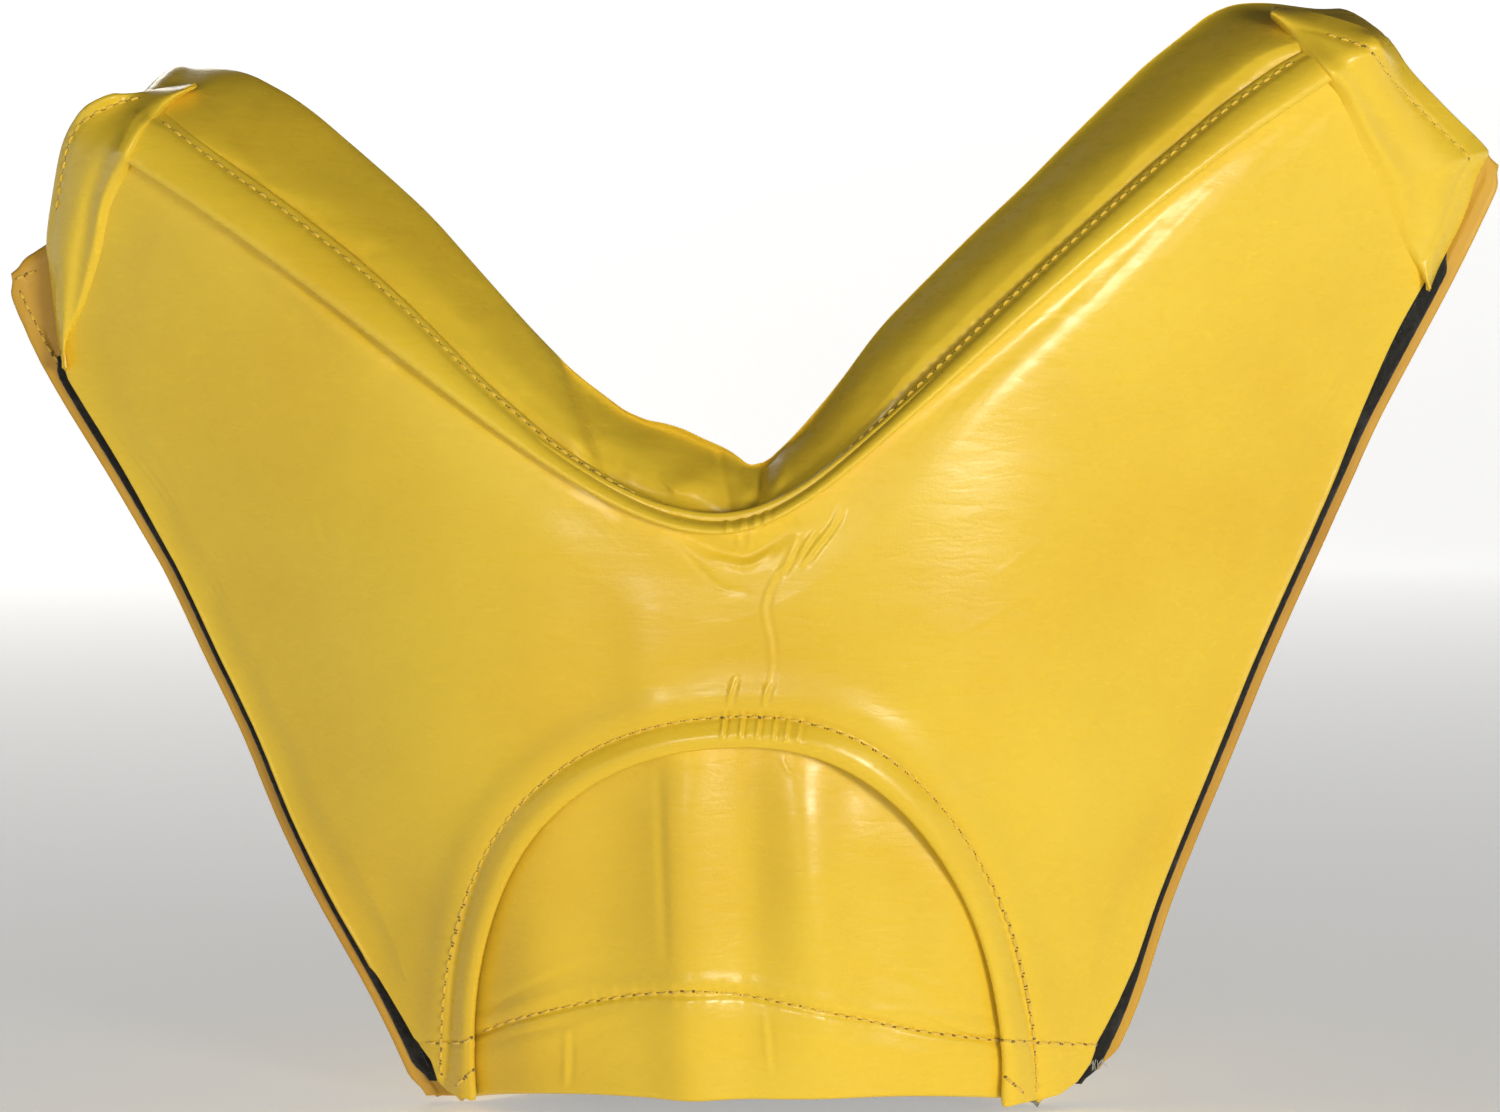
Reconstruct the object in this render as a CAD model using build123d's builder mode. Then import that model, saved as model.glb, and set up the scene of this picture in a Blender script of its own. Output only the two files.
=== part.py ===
from build123d import *

import math
import os

# Boxing headgear: a padded chin, jaw and ear guard with an open crown.
#
# A V-fronted front guard and a matching rear panel close round the neck and the jaw. Hook-and-loop borders join
# them down both sides, a fat roll pads the V rim, and a tab wraps each end of that roll. The left border stays
# fastened, so the rear panel swings on its fold line there.
#
# Millimetres. +Z is up, the wearer looks along -Y, and the origin is on the hem, under the middle. Every skin and
# pad is one layer of a bulging wall: at each height a wall is an arc between two flat borders.

# Outline in front view. Borders lean outwards as they rise.
HEM_HALF_WIDTH = 85.0
SIDE_SLOPE = 0.445
BORDER_WIDTH = 16.0
FRONT_INSET = 5.0  # the front guard stops this far inside the rear border's edge
SIDE_TOP_HEIGHT = 198.0
FLAP_TOP_HEIGHT, FLAP_TOP_RISE = 221.0, 8.0
RIM = [(0, 145), (38, 160), (88, 200), (149, 242)]
REAR_RIM = [(0, 134), (40, 150), (100, 197), (150, 229)]
WALL_LOW, WALL_HIGH = -12.0, 300.0  # every wall is made this tall and then cut to its outline

# Bulge of the walls: depth at the hem, and extra depth per millimetre of height
FRONT_BULGE = (40.0, 0.1)
REAR_BULGE = (42.5, 0.091)

# Layers, as the Y of the outer and the inner face at the flat border
CHIN_WELT = (-4.6, -3.2)
FRONT_COVER = (-3.1, -1.9)
FRONT_FACING = (-1.8, -0.8)
HOOK_TAPE = (-0.7, 0.3)
LOOP_TAPE = (0.6, 1.6)
REAR_FLAP = (1.7, 3.9)
REAR_LINING = (2.7, 1.8)
REAR_COVER = (4.1, 2.9)
REAR_BAND = (5.3, 4.2)

# Padding and hems
CHEEK_PAD, CHIN_PAD, REAR_PAD = 11.0, 4.5, 8.0
PAD_BELOW_RIM = 8.0
ARCH_HALF_WIDTH, ARCH_HEIGHT, WELT_WIDTH = 68.0, 92.5, 8.0
HEM_HEIGHT = 17.0
RIM_BAND_WIDTH = 9.0
TAPE_LOW, TAPE_HIGH = 6.0, 194.0

# Roll along the V rim: share of the way out, how far it stands over the rim, and its radius
ROLL = [(0.0, 16.0, 10.5), (0.3, 21.0, 13.5), (0.65, 29.0, 17.5), (1.0, 34.0, 20.0)]
ROLL_GAP = 1.6
ROLL_SKIN = 1.2
CORE_SHRINK = 1.5
CENTRE_GAP = 3.0  # foam stops this far each side of the middle, so that the guard folds there

# End tab, right-hand side: its hinge line, how far it leans back, and its outline (along, across)
TAB_HINGE = ((174.3, -5.0, 204.7), (137.1, -12.0, 271.9))
TAB_LEAN = 20.0
TAB_OUTLINE = [(3, 2), (14, 18), (40, 25), (66, 20), (74, 2)]
TAB_THICKNESS = 2.4


def half_width(z):
    """Half the width over the rear borders at height z."""
    return HEM_HALF_WIDTH + SIDE_SLOPE * z


def arc(z, bulge):
    """Half width and rise of a wall's arc at height z."""
    return half_width(z) - BORDER_WIDTH, bulge[0] + bulge[1] * z


def front_y(x, z):
    """Y of the front cover's outer face at a point of the front view."""
    half, rise = arc(z, FRONT_BULGE)
    radius = (half**2 + rise**2) / (2 * rise)
    return FRONT_COVER[0] - (math.sqrt(radius**2 - min(abs(x), half) ** 2) - (radius - rise))


def wall_sketch(z, faces, bulge, side, thinner):
    """Plan section of one layer: an arc with a flat border each side."""
    half, rise = arc(z, bulge)
    edge = half_width(z) + 10
    (outer, inner), crest = faces, side * (rise - thinner)
    with BuildSketch(Plane.XY.offset(z)) as section:
        with BuildLine():
            ThreePointArc((-half, outer), (0, outer + crest), (half, outer))
            Polyline((half, outer), (edge, outer), (edge, inner), (half, inner))
            ThreePointArc((half, inner), (0, inner + crest), (-half, inner))
            Polyline((-half, inner), (-edge, inner), (-edge, outer), (-half, outer))
        make_face()
    return section.sketch


def wall(faces, bulge, side, thinner=0.0):
    """One layer before it is cut to its outline. thinner takes that much off its bulge."""
    with BuildPart() as layer:
        loft([wall_sketch(z, faces, bulge, side, thinner) for z in (WALL_LOW, WALL_HIGH)], ruled=True)
    return layer.part


def front_wall(faces, thinner=0.0):
    return wall(faces, FRONT_BULGE, -1, thinner)


def rear_wall(faces, thinner=0.0):
    return wall(faces, REAR_BULGE, 1, thinner)


def padding(face, thickness, bulge, side):
    """Foam that is thickest down the middle and thins out to nothing at the borders."""
    with BuildPart() as pad:
        sections = []
        for z in (WALL_LOW, WALL_HIGH):
            half, rise = arc(z, bulge)
            with BuildSketch(Plane.XY.offset(z)) as section:
                with BuildLine():
                    ThreePointArc((-half, face), (0, face + side * rise), (half, face))
                    ThreePointArc((half, face), (0, face + side * (rise - thickness)), (-half, face))
                make_face()
            sections.append(section.sketch)
        loft(sections, ruled=True)
    return pad.part


def rim_points(points, lift=0.0):
    """Both halves of a V rim, left to right."""
    return [(-x, z + lift) for x, z in reversed(points[1:])] + [(x, z + lift) for x, z in points]


def through(sketch):
    """A front-view shape carried right through the object along Y."""
    with BuildPart() as block:
        extrude(sketch, amount=150, both=True)
    return block.part


def outline(points, inset, low, high, lift=0.0):
    """Front view of a whole panel: hem, two leaning sides and the V rim, lifted or lowered."""
    rim = rim_points(points, lift)
    x_end, z_end = rim[-1]
    x_low, x_high = half_width(low) - inset, half_width(high) - inset
    with BuildSketch(Plane.XZ) as shape:
        with BuildLine():
            Spline(*rim)
            Polyline((x_end, z_end), (x_high, high), (x_low, low), (-x_low, low), (-x_high, high), (-x_end, z_end))
        make_face()
    return shape.sketch


def rim_strip(points, low_lift, high_lift, trim=0.0):
    """Front view of a strip that follows a V rim, from one lift over it to another."""
    x_max = points[-1][0] - trim
    with BuildSketch(Plane.XZ) as strip:
        with BuildLine():
            low = Spline(*rim_points(points, low_lift))
            high = Spline(*rim_points(points, high_lift))
            Line(low @ 0, high @ 0)
            Line(low @ 1, high @ 1)
        make_face()
        with Locations((x_max + 100, 200), (-x_max - 100, 200)):
            Rectangle(200, 400, mode=Mode.SUBTRACT)
    return strip.sketch


def arch(grow=0.0, low=0.0):
    """Front view of the chin panel's half ellipse, grown all round."""
    with BuildSketch(Plane.XZ) as shape:
        Ellipse(ARCH_HALF_WIDTH + grow, ARCH_HEIGHT + grow)
        with Locations((0, low - 200)):
            Rectangle(400, 400, mode=Mode.SUBTRACT)
    return shape.sketch


def across(inset, low, high):
    """Front view of a level band from side to side."""
    with BuildSketch(Plane.XZ) as band:
        with BuildLine():
            x_low, x_high = half_width(low) - inset, half_width(high) - inset
            Polyline((x_low, low), (x_high, high), (-x_high, high), (-x_low, low), close=True)
        make_face()
    return band.sketch


def border_strip(faces, insets, low, high, rise=0.0):
    """A flat strip up the right-hand border, between two insets from its edge and two values of Y."""
    outer, inner = insets
    near, far = faces
    with BuildPart() as strip:
        with BuildSketch(Plane.XZ.offset(-far)):
            with BuildLine():
                top = high + rise
                Polyline(
                    (half_width(low) - outer, low),
                    (half_width(high) - outer, high),
                    (half_width(top) - inner, top),
                    (half_width(low) - inner, low),
                    close=True,
                )
            make_face()
        extrude(amount=far - near)
    return strip.part


def save(builder, label):
    builder.part.label = label
    export_step(builder.part, f"parts/{label}.step")


def save_pair(builder, name):
    """Writes a right-hand piece and its mirror image."""
    save(builder, f"right_{name}")
    with BuildPart() as mirrored:
        mirror(builder.part, about=Plane.YZ)
    save(mirrored, f"left_{name}")


os.makedirs("parts", exist_ok=True)
ARCH_CLEARANCE = 1.5
front_shape = outline(RIM, FRONT_INSET, 0, SIDE_TOP_HEIGHT)

# ---- Front guard: skins

with BuildPart() as front_cover:
    add(front_wall(FRONT_COVER))
    add(through(front_shape), mode=Mode.INTERSECT)
    add(through(arch(low=-5)), mode=Mode.SUBTRACT)
save(front_cover, "front_cover")

with BuildPart() as chin_welt:
    add(front_wall(CHIN_WELT))
    add(through(arch(WELT_WIDTH)), mode=Mode.INTERSECT)
    add(through(arch(low=-5)), mode=Mode.SUBTRACT)
save(chin_welt, "chin_welt")

with BuildPart() as chin_panel:
    add(front_wall(FRONT_FACING))
    add(through(arch(WELT_WIDTH - 1)), mode=Mode.INTERSECT)
save(chin_panel, "chin_panel")

with BuildPart() as rim_band:
    add(front_wall(CHIN_WELT))
    add(through(rim_strip(RIM, -1.0, RIM_BAND_WIDTH)), mode=Mode.INTERSECT)
save(rim_band, "rim_band")

with BuildPart() as front_lining:
    add(front_wall(FRONT_FACING, CHEEK_PAD))
    add(through(outline(RIM, BORDER_WIDTH + 4, 1, 188, -PAD_BELOW_RIM)), mode=Mode.INTERSECT)
save(front_lining, "front_lining")

with BuildPart() as front_hem_facing:
    add(front_wall((FRONT_FACING[0] + 1.1, FRONT_FACING[1] + 1.1), CHEEK_PAD))
    add(through(across(BORDER_WIDTH + 3, 1, HEM_HEIGHT)), mode=Mode.INTERSECT)
save(front_hem_facing, "front_hem_facing")

# ---- Front guard: foam

cheek_front = FRONT_FACING[0]
with BuildPart() as cheek_pad:
    add(padding(cheek_front, CHEEK_PAD, FRONT_BULGE, -1))
    add(through(outline(RIM, BORDER_WIDTH + 4, 3, 188, -PAD_BELOW_RIM)), mode=Mode.INTERSECT)
    add(through(arch(WELT_WIDTH + ARCH_CLEARANCE, low=-5)), mode=Mode.SUBTRACT)
    split(bisect_by=Plane.YZ.offset(CENTRE_GAP))
save_pair(cheek_pad, "cheek_pad")

with BuildPart() as chin_pad:
    add(padding(FRONT_FACING[1] + 0.1, CHIN_PAD, FRONT_BULGE, -1))
    add(through(arch(-13, low=3)), mode=Mode.INTERSECT)
save(chin_pad, "chin_pad")

# ---- Roll along the V rim


def roll_sections(shrink):
    """Circles across the right half of the roll, from the middle outwards."""
    with BuildLine(Plane.XZ) as line:
        Spline(*rim_points(RIM))
    rim = line.edge()
    sections = []
    for share, height, radius in ROLL:
        at = 0.5 + share / 2
        on_rim = rim @ at
        along = rim % at if share > 0 else Vector(1, 0, 0)
        up = Vector(-along.Z, 0, along.X)
        centre = on_rim + up * (height - radius)
        y = front_y(on_rim.X, on_rim.Z) + FRONT_COVER[1] - FRONT_COVER[0] + ROLL_GAP + radius
        plane = Plane((centre.X, y, centre.Z), x_dir=(0, 1, 0), z_dir=along)
        with BuildSketch(plane) as section:
            Circle(radius - shrink)
        sections.append(section.sketch)
    return sections


def whole_roll(shrink):
    with BuildPart() as roll:
        loft(roll_sections(shrink))
        mirror(about=Plane.YZ)
    return roll.part


with BuildPart() as rim_roll_cover:
    add(whole_roll(0))
    add(whole_roll(ROLL_SKIN), mode=Mode.SUBTRACT)
save(rim_roll_cover, "rim_roll_cover")

with BuildPart() as roll_core:
    loft(roll_sections(CORE_SHRINK))
    split(bisect_by=Plane.YZ.offset(CENTRE_GAP))
save_pair(roll_core, "roll_core")

# ---- Side borders: turned edge and hook tape in front, loop tape and rear flap behind

with BuildPart() as front_border:
    add(border_strip(FRONT_FACING, (FRONT_INSET + 0.5, BORDER_WIDTH), 1, SIDE_TOP_HEIGHT - 4))
    add(through(arch(WELT_WIDTH)), mode=Mode.SUBTRACT)
save_pair(front_border, "front_border")

with BuildPart() as hook_tape:
    add(border_strip(HOOK_TAPE, (FRONT_INSET + 0.5, BORDER_WIDTH - 1), TAPE_LOW, TAPE_HIGH))
save_pair(hook_tape, "hook_tape")

with BuildPart() as loop_tape:
    add(border_strip(LOOP_TAPE, (2.5, BORDER_WIDTH - 1), TAPE_LOW - 2, TAPE_HIGH + 8))
save_pair(loop_tape, "loop_tape")

with BuildPart() as rear_flap:
    add(border_strip(REAR_FLAP, (0, BORDER_WIDTH - 0.5), 0, FLAP_TOP_HEIGHT, FLAP_TOP_RISE))
save_pair(rear_flap, "rear_flap")

# ---- Rear panel

REAR_EDGE = BORDER_WIDTH + 0.5
with BuildPart() as rear_cover:
    add(rear_wall(REAR_COVER))
    add(through(outline(REAR_RIM, REAR_EDGE, 0, FLAP_TOP_HEIGHT + FLAP_TOP_RISE)), mode=Mode.INTERSECT)
save(rear_cover, "rear_cover")

with BuildPart() as rear_lining:
    add(rear_wall(REAR_LINING, REAR_PAD))
    add(through(outline(REAR_RIM, REAR_EDGE + 2, 1, FLAP_TOP_HEIGHT, -4)), mode=Mode.INTERSECT)
save(rear_lining, "rear_lining")

with BuildPart() as rear_pad:
    add(padding(REAR_COVER[1] - 0.1, REAR_PAD, REAR_BULGE, 1))
    add(through(outline(REAR_RIM, REAR_EDGE + 4, 3, FLAP_TOP_HEIGHT - 8, -PAD_BELOW_RIM)), mode=Mode.INTERSECT)
save(rear_pad, "rear_pad")

with BuildPart() as rear_rim_band:
    add(rear_wall(REAR_BAND))
    add(through(rim_strip(REAR_RIM, -RIM_BAND_WIDTH, 0, 2)), mode=Mode.INTERSECT)
save(rear_rim_band, "rear_rim_band")

with BuildPart() as rear_hem_band:
    add(rear_wall(REAR_BAND))
    add(through(across(REAR_EDGE + 2, 0, HEM_HEIGHT)), mode=Mode.INTERSECT)
save(rear_hem_band, "rear_hem_band")

# ---- End tabs: they fold round the ends of the roll

hinge_low, hinge_high = (Vector(*point) for point in TAB_HINGE)
along = (hinge_high - hinge_low).normalized()
lean = math.radians(TAB_LEAN)
outward = Vector(0, 1, 0).cross(along) * math.cos(lean) + Vector(0, math.sin(lean), 0)
tab_plane = Plane(hinge_low, x_dir=along, z_dir=along.cross(outward))

with BuildPart() as end_tab:
    with BuildSketch(tab_plane):
        Polygon(*TAB_OUTLINE, align=None)
    extrude(amount=TAB_THICKNESS / 2, both=True)
save_pair(end_tab, "end_tab")
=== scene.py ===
import math

import bpy
import numpy as np
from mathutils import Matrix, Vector
from mathutils.bvhtree import BVHTree


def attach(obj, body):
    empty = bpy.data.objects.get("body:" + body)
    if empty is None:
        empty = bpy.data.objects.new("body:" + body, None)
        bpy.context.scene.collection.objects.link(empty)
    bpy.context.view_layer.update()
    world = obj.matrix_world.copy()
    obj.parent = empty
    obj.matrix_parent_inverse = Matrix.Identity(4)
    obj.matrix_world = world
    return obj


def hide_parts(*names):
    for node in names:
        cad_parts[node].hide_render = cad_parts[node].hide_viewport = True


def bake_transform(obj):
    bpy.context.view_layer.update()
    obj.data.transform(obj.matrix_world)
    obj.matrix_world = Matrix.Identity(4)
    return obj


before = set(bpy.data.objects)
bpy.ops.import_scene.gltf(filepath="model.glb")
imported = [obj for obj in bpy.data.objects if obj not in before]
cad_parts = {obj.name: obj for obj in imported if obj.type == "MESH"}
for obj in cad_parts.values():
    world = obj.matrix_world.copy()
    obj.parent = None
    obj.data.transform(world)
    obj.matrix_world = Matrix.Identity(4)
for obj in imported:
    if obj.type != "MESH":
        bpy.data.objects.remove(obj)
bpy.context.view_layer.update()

MM = 0.001

# -------------------- camera
# Lengths are in millimetres from here on.

AZIMUTH, ELEVATION, DISTANCE = math.radians(2), math.radians(2.5), 1250
TARGET = np.array([0, -10, 138.6])
VIEW_WIDTH, VIEW_CENTRE = 375, (0.25, 138)
TO_CAMERA = np.array([math.sin(AZIMUTH) * math.cos(ELEVATION),
                      -math.cos(AZIMUTH) * math.cos(ELEVATION),
                      math.sin(ELEVATION)])
CAMERA = TARGET + TO_CAMERA * DISTANCE
RIGHT = np.array([math.cos(AZIMUTH), math.sin(AZIMUTH), 0])
UP = np.cross(TO_CAMERA, RIGHT)


def in_view(p):
    """Where the camera sees points p: across and up on the upright plane through its target."""
    q = p - CAMERA
    depth = -(q @ TO_CAMERA)
    return VIEW_CENTRE[0] + (q @ RIGHT) / depth * DISTANCE, VIEW_CENTRE[1] + (q @ UP) / depth * DISTANCE


def sight(across, up):
    """The camera's line of sight through a place on that plane."""
    there = TARGET + (across - VIEW_CENTRE[0]) * RIGHT + (up - VIEW_CENTRE[1]) * UP
    return CAMERA, unit(there - CAMERA)


def at_depth(across, y, up):
    """The points at depth y that the camera sees at these places."""
    there = TARGET + (np.asarray(across) - VIEW_CENTRE[0])[..., None] * RIGHT
    way = there + (np.asarray(up) - VIEW_CENTRE[1])[..., None] * UP - CAMERA
    return CAMERA + way * ((y - CAMERA[1]) / way[..., 1])[..., None]


# -------------------- small tools


def unit(v):
    """The vector v at a length of 1."""
    return v / max(np.linalg.norm(v), 1e-9)


def smooth(a, b, x):
    """0 where x is before a, 1 after b, and a soft step between them."""
    t = np.clip((x - a) / (b - a), 0, 1)
    return t * t * (3 - 2 * t)


def hill(x, at, width):
    """A round bump, 1 high."""
    return np.exp(-((x - at) / width) ** 2)


def keyed(x, keys, soft=0.0):
    """A value read from (place, value) keys, with its corners rounded over soft."""
    place, value = zip(*keys)
    return sum(np.interp(x + shift * soft, place, value) for shift in (-1, -0.5, 0, 0.5, 1)) / 5


def through(keys, at):
    """A smooth line through keys, read at places from 0 to 1."""
    keys = np.asarray(keys, float)
    n = len(keys) - 1
    t = np.clip(at * n, 0, n - 1e-6)
    i = t.astype(int)
    f = (t - i).reshape(-1, *[1] * (keys.ndim - 1))
    pad = np.concatenate([2 * keys[:1] - keys[1:2], keys, 2 * keys[-1:] - keys[-2:-1]])
    a, b, c, d = (pad[i + k] for k in range(4))
    return 0.5 * (2 * b + (c - a) * f + (2 * a - 5 * b + 4 * c - d) * f**2 + (3 * b - a - 3 * c + d) * f**3)


def resample(points, count, peaks=()):
    """The line of points with count new ones.

    Peaks draw them together: each is a place from 0 to 1, a width, and how much denser it gets there.
    """
    points = np.asarray(points, float)
    run = np.concatenate([[0], np.cumsum(np.linalg.norm(np.diff(points, axis=0), axis=1))])
    fine = np.linspace(0, 1, 2000)
    dense = np.cumsum(1 + sum(k * hill(fine, at, width) for at, width, k in peaks) + 0 * fine)
    at = np.interp(np.linspace(dense[0], dense[-1], count), dense, fine) * run[-1]
    return np.stack([np.interp(at, run, points[:, k]) for k in range(points.shape[1])], 1)


def curve(keys, count):
    """A smooth line through keys, as count evenly spaced points."""
    return resample(through(keys, np.linspace(0, 1, 20 * len(keys))), count)


def finer(a, rows, cols):
    """A grid read at more rows and columns."""
    a = through(a, np.linspace(0, 1, rows))
    return through(a.swapaxes(0, 1), np.linspace(0, 1, cols)).swapaxes(0, 1)


def from_line(x, z, line):
    """How far each place is from a line, and how far along it that is, from 0 to 1."""
    line = np.asarray(line, float)
    best, where, start = np.full(x.shape, 1e9), np.zeros(x.shape), 0.0
    total = np.linalg.norm(np.diff(line, axis=0), axis=1).sum()
    for a, b in zip(line[:-1], line[1:]):
        run = np.linalg.norm(b - a)
        way = (b - a) / run
        t = np.clip((x - a[0]) * way[0] + (z - a[1]) * way[1], 0, run)
        far = np.hypot(x - a[0] - t * way[0], z - a[1] - t * way[1])
        where = np.where(far < best, (start + t) / total, where)
        best = np.minimum(far, best)
        start += run
    return best, where


def ridge(x, z, line, height, width):
    """A raised line, or a groove where height is negative, that fades out at its two ends."""
    far, along = from_line(x, z, curve(line, 12) if len(line) > 2 else line)
    return height * np.sin(math.pi * np.clip(along, 0, 1)) ** 0.5 * hill(far, 0, width)


# -------------------- meshes

MESHES = {}
FORWARD, BACKWARD = (0, -1, 0), (0, 1, 0)


def placed(name, data):
    """A new object in the scene that holds this data."""
    obj = bpy.data.objects.new(name, data)
    bpy.context.scene.collection.objects.link(obj)
    return obj


def make(name, verts, faces, body, slot, material):
    """A named mesh that rides on a body, or on none yet, with one material or a list of them."""
    mesh = bpy.data.meshes.new(name)
    mesh.from_pydata((np.asarray(verts) * MM).tolist(), [], faces)
    mesh.validate()
    for m in material if isinstance(material, list) else [material]:
        mesh.materials.append(m)
    mesh.polygons.foreach_set("use_smooth", [True] * len(mesh.polygons))
    obj = placed(name, mesh)
    if body:
        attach(obj, body)
    MESHES[name] = BVHTree.FromPolygons(np.asarray(verts).tolist(), faces)
    return obj


def facing(grid, toward):
    """Normals of a grid, on the side that toward points to, and 1 or -1 for that side."""
    n = np.cross(np.gradient(grid, axis=0), np.gradient(grid, axis=1))
    n = n / np.maximum(np.linalg.norm(n, axis=-1, keepdims=True), 1e-9)
    side = 1 if (n @ np.array(toward)).mean() > 0 else -1
    return n * side, side


def raised(grid, toward, height):
    """A grid moved by height along its normals."""
    return grid + facing(grid, toward)[0] * np.asarray(height)[..., None]


def rim_of(rows, cols):
    """The border of a grid, in order."""
    loop = [(i, 0) for i in range(rows)] + [(rows - 1, j) for j in range(1, cols)]
    return loop + [(i, cols - 1) for i in range(rows - 2, -1, -1)] + [(0, j) for j in range(cols - 2, 0, -1)]


def slab(grid, thick, toward=FORWARD, rounds=4, coarse=1):
    """A closed solid behind a grid: thick at each point, and with round edges.

    Its back keeps only every coarse-th row and column.
    """
    n, side = facing(grid, toward)
    back = grid - n * thick[..., None]
    rows, cols = grid.shape[:2]
    index = np.arange(rows * cols).reshape(rows, cols)
    behind = back[::coarse, ::coarse]
    index_back = rows * cols + np.arange(behind.shape[0] * behind.shape[1]).reshape(behind.shape[:2])

    def quads(i):
        q = np.stack([i[:-1, :-1], i[1:, :-1], i[1:, 1:], i[:-1, 1:]], -1).reshape(-1, 4)
        return q if side > 0 else q[:, ::-1]

    faces = quads(index).tolist() + quads(index_back)[:, ::-1].tolist()
    loop, loop_back = rim_of(rows, cols), rim_of(*behind.shape[:2])
    arcs = []
    for i, j in loop:
        out = np.zeros(3)
        if i in (0, rows - 1):
            out += unit(grid[i, j] - grid[1 if i == 0 else -2, j])
        if j in (0, cols - 1):
            out += unit(grid[i, j] - grid[i, 1 if j == 0 else -2])
        out = unit(out - n[i, j] * out.dot(n[i, j]))
        middle, half = (grid[i, j] + back[i, j]) / 2, thick[i, j] / 2
        turns = np.linspace(0, math.pi, rounds + 2)[1:-1]
        arcs.append([middle + out * half * math.sin(t) + n[i, j] * half * math.cos(t) for t in turns])
    start = rows * cols + behind.shape[0] * behind.shape[1]
    count = len(loop)
    for k in range(count):
        m = (k + 1) % count
        strips = []
        for at in (k, m):
            first, last = start + at * rounds, loop_back[int(at / coarse + 0.5) % len(loop_back)]
            strips.append([index[loop[at]], *range(first, first + rounds), index_back[last]])
        for r in range(rounds + 1):
            face = [int(strips[0][r]), int(strips[0][r + 1]), int(strips[1][r + 1]), int(strips[1][r])]
            face = list(dict.fromkeys(face))
            faces.append(face if side > 0 else face[::-1])
    return np.concatenate([grid.reshape(-1, 3), behind.reshape(-1, 3), np.array(arcs).reshape(-1, 3)]), faces


def tube(grid):
    """A closed solid through the rings of a grid, with its two ends closed."""
    rows, cols = grid.shape[:2]
    verts = np.concatenate([grid.reshape(-1, 3), grid[:1].mean(1), grid[-1:].mean(1)])
    index = np.arange(rows * cols).reshape(rows, cols)
    after = np.roll(index, -1, axis=1)
    faces = np.stack([index[:-1], index[1:], after[1:], after[:-1]], -1).reshape(-1, 4).tolist()
    faces += [[rows * cols, int(a), int(b)] for a, b in zip(index[0], after[0])]
    faces += [[rows * cols + 1, int(b), int(a)] for a, b in zip(index[-1], after[-1])]
    return verts, faces


# The cloth is simulated at ten times its real size.
CLOTH_SCALE, CLOTH_FRAMES = 0.01, 18


def cloth_lift(grid, free, push, grow, cap, around=False):
    """How far the points of a sheet move when it swells as cloth along push.

    free is 0 where a seam holds the sheet and 1 away from seams. No point moves further than cap.
    around closes each row into a ring.
    """
    rows, cols = grid.shape[:2]
    index = np.arange(rows * cols).reshape(rows, cols)
    right = np.roll(index, -1, axis=1) if around else index[:, 1:]
    left = index if around else index[:, :-1]
    faces = np.stack([left[:-1], left[1:], right[1:], right[:-1]], -1).reshape(-1, 4).tolist()
    mesh = bpy.data.meshes.new("swelling")
    mesh.from_pydata((grid.reshape(-1, 3) * CLOTH_SCALE).tolist(), [], faces)
    obj = placed("swelling", mesh)
    scene = bpy.context.scene
    held = obj.vertex_groups.new(name="held")
    for k, w in enumerate(np.clip(1 - free, 0, 1).ravel()):
        held.add([k], float(w) ** 3, "REPLACE")
    cloth = obj.modifiers.new("cloth", "CLOTH")
    cloth.settings.quality = 6
    cloth.settings.mass = 0.3
    cloth.settings.tension_stiffness = cloth.settings.compression_stiffness = 20
    cloth.settings.shear_stiffness = 8
    cloth.settings.bending_stiffness = 0.6
    cloth.settings.air_damping = 3
    cloth.settings.shrink_min = -grow
    cloth.settings.vertex_group_mass = "held"
    cloth.collision_settings.use_collision = False
    cloth.collision_settings.use_self_collision = False
    old = tuple(scene.gravity)
    scene.gravity = push
    for number in range(1, CLOTH_FRAMES + 1):
        scene.frame_set(number)
    shown = obj.evaluated_get(bpy.context.evaluated_depsgraph_get()).to_mesh()
    moved = np.zeros(rows * cols * 3)
    shown.vertices.foreach_get("co", moved)
    obj.to_mesh_clear()
    bpy.data.objects.remove(obj)
    scene.gravity = old
    scene.frame_set(1)
    lift = moved.reshape(grid.shape) / CLOTH_SCALE - grid
    far = np.linalg.norm(lift, axis=-1, keepdims=True)
    return lift * cap / (cap + far) * np.clip(free, 0, 1)[..., None]


# -------------------- stitches


BEHIND = 400.0
# The second radius is the size of each dark cone painted as shade in a needle hole.
THREAD_RADIUS, HOLE_SHADE_RADIUS = 0.38, 0.56
SIDES, RINGS = 6, 6
TURNS = np.linspace(0, 2 * math.pi, SIDES + 1)[:-1]
THREAD_RISE = np.array([-0.30, 0.06, 0.20, 0.20, 0.06, -0.30])
LONGEST_STEP = 1.6


def seen_on(*names):
    """Finds the point of these pieces that the camera sees at a place in its view, and the way it faces."""
    def cast(place):
        return nearest([MESHES[n] for n in names], *sight(*place))
    return cast


def behind_on(*names):
    """The same from straight behind the guard."""
    def cast(place):
        start = np.array([place[0], BEHIND, place[1]])
        return nearest([MESHES[n] for n in names], start, np.array([0, -1.0, 0]))
    return cast


def nearest(trees, start, way):
    """The first point of the meshes along a ray, and its normal on the ray's side."""
    found = [t.ray_cast(Vector(start), Vector(way)) for t in trees]
    found = [h for h in found if h[0] is not None]
    if not found:
        return None
    spot, normal, _, _ = min(found, key=lambda h: h[3])
    normal = np.array(normal)
    return np.array(spot), normal if normal.dot(way) < 0 else -normal


def tube_faces(base, rings, sides):
    """The faces of a closed tube whose rings begin at the vertex base."""
    faces = []
    for k in range(rings - 1):
        for m in range(sides):
            a, b = base + k * sides + m, base + k * sides + (m + 1) % sides
            faces.append([a, b, b + sides, a + sides])
    last = base + (rings - 1) * sides
    return faces + [[base + m for m in range(sides - 1, -1, -1)], [last + m for m in range(sides)]]


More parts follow.
